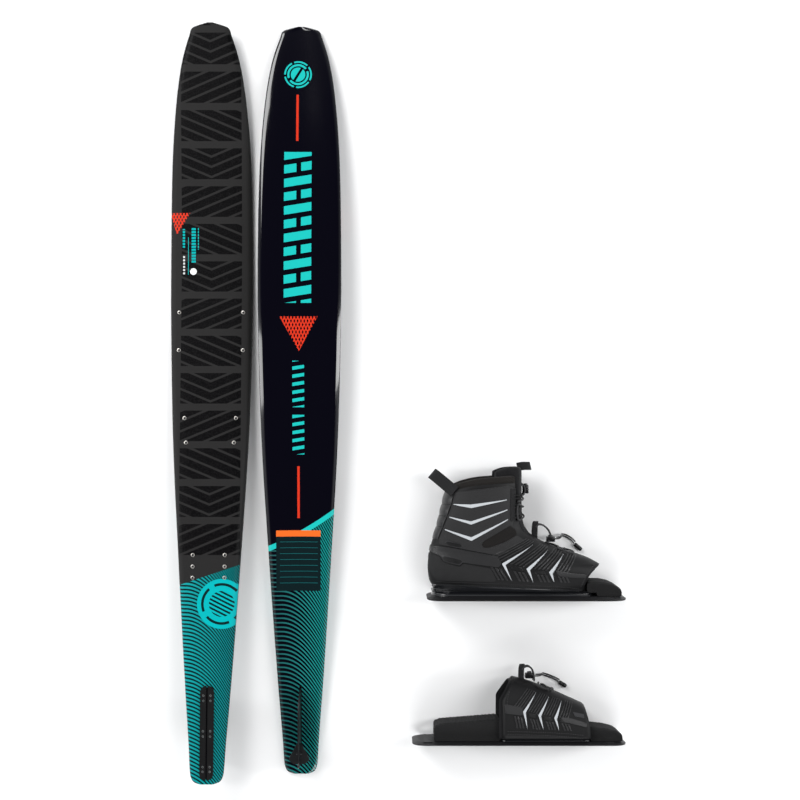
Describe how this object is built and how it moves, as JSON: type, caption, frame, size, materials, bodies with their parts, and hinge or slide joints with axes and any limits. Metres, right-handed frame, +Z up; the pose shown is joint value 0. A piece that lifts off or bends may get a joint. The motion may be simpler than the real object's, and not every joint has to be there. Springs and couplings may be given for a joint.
{
  "type": "slalom water ski set",
  "caption": "Slalom water ski shown deck up and base up, with fin and wing, a laced open-toe front boot and a rear toe plate.",
  "frame": {"origin": "on the floor, under the middle of the laid-out set, laces apart", "axes": "+Y along the skis from tail to tip, +X across them towards the bindings, +Z up from the floor"},
  "size_m": [0.9602, 1.6016, 0.1241],
  "materials": {
    "deck_film": "matte textured film with gloss black blocks and a teal tail",
    "base_gloss": "polished black with teal and orange-red graphics",
    "ski_core": "satin carbon edge",
    "insert_metal": "turned stainless",
    "clamp_black": "black anodised",
    "fin_metal": "dark anodised",
    "plate_black": "moulded, satin",
    "foam": "soft EVA, matte",
    "upper_black": "synthetic, brushed and moulded",
    "mesh_fabric": "woven mesh over padding",
    "webbing": "ribbed webbing",
    "lace_black": "braided cord",
    "lock_plastic": "moulded, semi-gloss"
  },
  "bodies": {
    "ski_a": {"ski_a_base_sheet": "base_gloss", "ski_a_core": "ski_core", "ski_a_fin_clamp_left": "clamp_black", "ski_a_fin_clamp_right": "clamp_black", "ski_a_front_insert_plate": "insert_metal", "ski_a_rear_insert_plate": "insert_metal", "ski_a_top_sheet": "deck_film"},
    "ski_a_fin": {"ski_a_fin": "fin_metal"},
    "ski_a_fin_wing": {"ski_a_fin_wing": "fin_metal"},
    "ski_b": {"ski_b_base_sheet": "base_gloss", "ski_b_core": "ski_core", "ski_b_fin_clamp_left": "clamp_black", "ski_b_fin_clamp_right": "clamp_black", "ski_b_front_insert_plate": "insert_metal", "ski_b_rear_insert_plate": "insert_metal", "ski_b_top_sheet": "deck_film"},
    "ski_b_fin": {"ski_b_fin": "fin_metal"},
    "ski_b_fin_wing": {"ski_b_fin_wing": "fin_metal"},
    "boot": {"boot_chassis_rail": "plate_black", "boot_flex_zone": "mesh_fabric", "boot_footbed": "foam", "boot_instep_loop": "webbing", "boot_lace_end": "lock_plastic", "boot_lace_tail_1": "lace_black", "boot_lace_tail_2": "lace_black", "boot_lower_lace": "lace_black", "boot_lower_lock": "lock_plastic", "boot_plate": "plate_black", "boot_shell": "upper_black", "boot_toe_pad": "foam"},
    "boot_cuff": {"boot_collar": "mesh_fabric", "boot_cuff": "upper_black", "boot_heel_loop": "webbing", "boot_heel_spine": "webbing", "boot_lace_stay_left": "webbing", "boot_lace_stay_right": "webbing", "boot_tongue": "mesh_fabric", "boot_tongue_loop": "webbing", "boot_upper_lace": "lace_black", "boot_upper_lock": "lock_plastic"},
    "boot_upper_lock_button": {"boot_upper_lock_button": "lock_plastic"},
    "boot_lower_lock_button": {"boot_lower_lock_button": "lock_plastic"},
    "toe_plate": {"toe_chassis_rail": "plate_black", "toe_footbed": "foam", "toe_front_pad": "foam", "toe_heel_pad": "foam", "toe_lace": "lace_black", "toe_lace_end": "lock_plastic", "toe_lace_tail_1": "lace_black", "toe_lace_tail_2": "lace_black", "toe_lock": "lock_plastic", "toe_plate": "plate_black", "toe_pull_loop": "webbing", "toe_sleeve": "mesh_fabric", "toe_upper": "upper_black"},
    "toe_lock_button": {"toe_lock_button": "lock_plastic"}
  },
  "joints": [
    {"name": "ski_a_fin_slide", "type": "slide", "parent": "ski_a", "child": "ski_a_fin", "axis": [0, 0.9977, -0.0685], "range_m": [-0.004, 0.004]},
    {"name": "ski_a_wing_pitch", "type": "hinge", "parent": "ski_a_fin", "child": "ski_a_fin_wing", "pos_m": [-0.39187, -0.74466, 0.02707], "axis": [1, 0, 0], "range_deg": [-6, 6]},
    {"name": "ski_b_lift", "type": "slide", "parent": "ski_a", "child": "ski_b", "axis": [0, 0, 1], "range_m": [0, 0.25]},
    {"name": "ski_b_fin_slide", "type": "slide", "parent": "ski_b", "child": "ski_b_fin", "axis": [0, 0.9993, 0.0367], "range_m": [-0.004, 0.004]},
    {"name": "ski_b_wing_pitch", "type": "hinge", "parent": "ski_b_fin", "child": "ski_b_fin_wing", "pos_m": [-0.20087, -0.7431, 0.06143], "axis": [-1, 0, 0], "range_deg": [-6, 6]},
    {"name": "boot_lift", "type": "slide", "parent": "ski_a", "child": "boot", "axis": [0, 0, 1], "range_m": [0, 0.25]},
    {"name": "cuff_flex", "type": "hinge", "parent": "boot", "child": "boot_cuff", "pos_m": [0.16272, -0.27021, 0.05832], "axis": [0, -0.0264, -0.9997], "range_deg": [-4, 12], "deforming": ["boot_flex_zone"]},
    {"name": "boot_upper_lock_button_press", "type": "slide", "parent": "boot_cuff", "child": "boot_upper_lock_button", "axis": [0, -0.9997, 0.0264], "range_m": [0, 0.003], "stiffness_N_per_m": 300, "springref_m": -0.001},
    {"name": "boot_lower_lock_button_press", "type": "slide", "parent": "boot", "child": "boot_lower_lock_button", "axis": [0, -0.9997, 0.0264], "range_m": [0, 0.003], "stiffness_N_per_m": 300, "springref_m": -0.001},
    {"name": "toe_plate_lift", "type": "slide", "parent": "ski_a", "child": "toe_plate", "axis": [0, 0, 1], "range_m": [0, 0.25]},
    {"name": "toe_lock_button_press", "type": "slide", "parent": "toe_plate", "child": "toe_lock_button", "axis": [0, -0.9957, 0.0925], "range_m": [0, 0.003], "stiffness_N_per_m": 300, "springref_m": -0.001}
  ]
}
